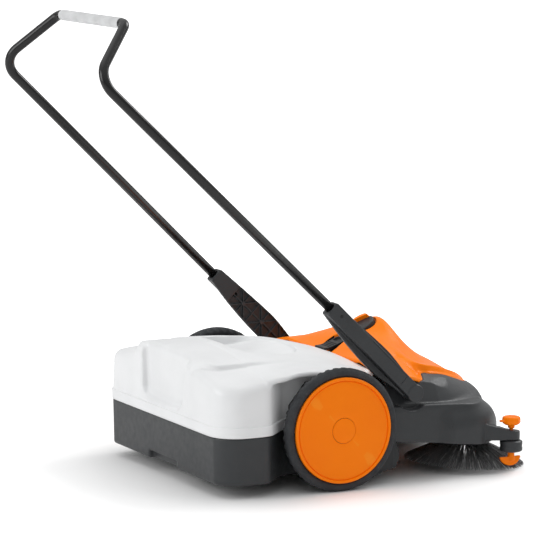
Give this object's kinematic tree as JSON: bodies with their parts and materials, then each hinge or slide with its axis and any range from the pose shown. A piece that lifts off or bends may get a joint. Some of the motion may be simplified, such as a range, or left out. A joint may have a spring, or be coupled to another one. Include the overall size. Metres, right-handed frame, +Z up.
{
  "type": "walk-behind sweeper",
  "caption": "Push sweeper with two large wheels, splayed disc brushes, a debris container behind and a tall folding U-shaped push handle.",
  "frame": {"origin": "on the floor, under the middle of the machine's length and on its middle plane", "axes": "+X the way the machine is pushed, +Y its left side, +Z up"},
  "size_m": [1.2532, 0.78, 1.219],
  "materials": {
    "orange_plastic": "satin moulded plastic",
    "white_plastic": "semi-gloss moulded plastic",
    "dark_plastic": "fine-textured moulded plastic",
    "black_plastic": "moulded plastic",
    "tyre_rubber": "matt rubber with small tread blocks",
    "belt_rubber": "matt rubber",
    "black_paint": "gloss powder coat",
    "pale_grip": "finely ribbed sleeve",
    "steel": "zinc-plated",
    "bristle": "black bristle"
  },
  "bodies": {
    "chassis": {"housing": "dark_plastic", "hood": "orange_plastic", "latch_channel": "black_plastic", "latch_pin": "steel", "side_frame_left": "black_plastic", "side_frame_right": "black_plastic", "wheel_axle_left": "steel", "wheel_axle_right": "steel", "drive_belt_left": "belt_rubber", "drive_belt_right": "belt_rubber", "roller_belt": "belt_rubber", "spindle_bearing_left": "black_plastic", "spindle_bearing_right": "black_plastic", "roller_housing": "dark_plastic", "sweep_lip": "belt_rubber", "pivot_bolt_left": "steel", "pivot_bolt_right": "steel"},
    "wheel_left": {"tyre_left": "tyre_rubber", "wheel_rim_left": "dark_plastic", "wheel_disc_left": "orange_plastic", "hub_cap_left": "orange_plastic", "drive_pulley_left": "black_plastic"},
    "wheel_right": {"tyre_right": "tyre_rubber", "wheel_rim_right": "dark_plastic", "wheel_disc_right": "orange_plastic", "hub_cap_right": "orange_plastic", "drive_pulley_right": "black_plastic"},
    "drive_left": {"countershaft_left": "steel", "belt_pulley_left": "black_plastic", "bevel_pinion_left": "black_plastic"},
    "drive_right": {"countershaft_right": "steel", "belt_pulley_right": "black_plastic", "bevel_pinion_right": "black_plastic"},
    "brush_left": {"brush_spindle_left": "steel", "bevel_gear_left": "black_plastic", "brush_plate_left": "black_plastic", "brush_bristles_left": "bristle"},
    "brush_right": {"brush_spindle_right": "steel", "bevel_gear_right": "black_plastic", "brush_plate_right": "black_plastic", "brush_bristles_right": "bristle"},
    "sweeping_roller": {"roller_shaft": "steel", "roller_core": "black_plastic", "roller_bristles": "bristle", "roller_pulley": "black_plastic"},
    "container": {"container_tray": "dark_plastic", "container_lid": "white_plastic"},
    "latch": {"latch_lever": "black_plastic"},
    "dial": {"height_dial": "dark_plastic", "dial_grip": "orange_plastic"},
    "handle": {"handle_tube": "black_paint", "grip_sleeve": "pale_grip", "handle_arm_left": "dark_plastic", "handle_arm_right": "dark_plastic", "arm_screw_left": "black_paint", "arm_screw_right": "black_paint"},
    "edge_roller": {"edge_roller": "dark_plastic"},
    "hold_down": {"hold_down_knob": "orange_plastic", "hold_down_fin": "orange_plastic"}
  },
  "joints": [
    {"name": "wheel_left_spin", "type": "hinge", "parent": "chassis", "child": "wheel_left", "pos_m": [0.01167, 0.364, 0.16], "axis": [0, 1, 0], "continuous": true},
    {"name": "wheel_right_spin", "type": "hinge", "parent": "chassis", "child": "wheel_right", "pos_m": [0.01167, -0.364, 0.16], "axis": [0, 1, 0], "continuous": true},
    {"name": "drive_left_spin", "type": "hinge", "parent": "chassis", "child": "drive_left", "pos_m": [0.47527, 0.28, 0.14], "axis": [0, 1, 0], "continuous": true},
    {"name": "drive_right_spin", "type": "hinge", "parent": "chassis", "child": "drive_right", "pos_m": [0.47527, -0.28, 0.14], "axis": [0, 1, 0], "continuous": true},
    {"name": "brush_left_spin", "type": "hinge", "parent": "chassis", "child": "brush_left", "pos_m": [0.47527, 0.216, 0.14], "axis": [0.0663, 0, 0.9978], "continuous": true},
    {"name": "brush_right_spin", "type": "hinge", "parent": "chassis", "child": "brush_right", "pos_m": [0.47527, -0.216, 0.14], "axis": [0.0663, 0, 0.9978], "continuous": true},
    {"name": "roller_spin", "type": "hinge", "parent": "chassis", "child": "sweeping_roller", "pos_m": [0.16167, 0, 0.062], "axis": [0, 1, 0], "continuous": true},
    {"name": "container_slide", "type": "slide", "parent": "chassis", "child": "container", "axis": [-1, 0, 0], "range_m": [0, 0.45]},
    {"name": "latch_lift", "type": "hinge", "parent": "chassis", "child": "latch", "pos_m": [0.21867, 0, 0.322], "axis": [0, 1, 0], "range_deg": [0, 45]},
    {"name": "dial_turn", "type": "hinge", "parent": "chassis", "child": "dial", "pos_m": [0.27367, 0, 0.36], "axis": [-0.5446, 0, 0.8387], "range_deg": [0, 270]},
    {"name": "handle_fold", "type": "hinge", "parent": "chassis", "child": "handle", "pos_m": [0.23967, 0, 0.233], "axis": [0, 1, 0], "range_deg": [0, 120]},
    {"name": "edge_roller_spin", "type": "hinge", "parent": "chassis", "child": "edge_roller", "pos_m": [0.52767, -0.358, 0.07], "axis": [0, 0, 1], "continuous": true},
    {"name": "hold_down_turn", "type": "hinge", "parent": "chassis", "child": "hold_down", "pos_m": [0.52767, -0.358, 0.1], "axis": [0, 0, 1], "range_deg": [0, 90]}
  ],
  "couplings": [
    {"joint": "drive_left_spin", "follows": "wheel_left_spin", "ratio": 3},
    {"joint": "brush_left_spin", "follows": "wheel_left_spin", "ratio": -2},
    {"joint": "roller_spin", "follows": "wheel_left_spin", "ratio": 2},
    {"joint": "drive_right_spin", "follows": "wheel_right_spin", "ratio": 3},
    {"joint": "brush_right_spin", "follows": "wheel_right_spin", "ratio": 2}
  ]
}
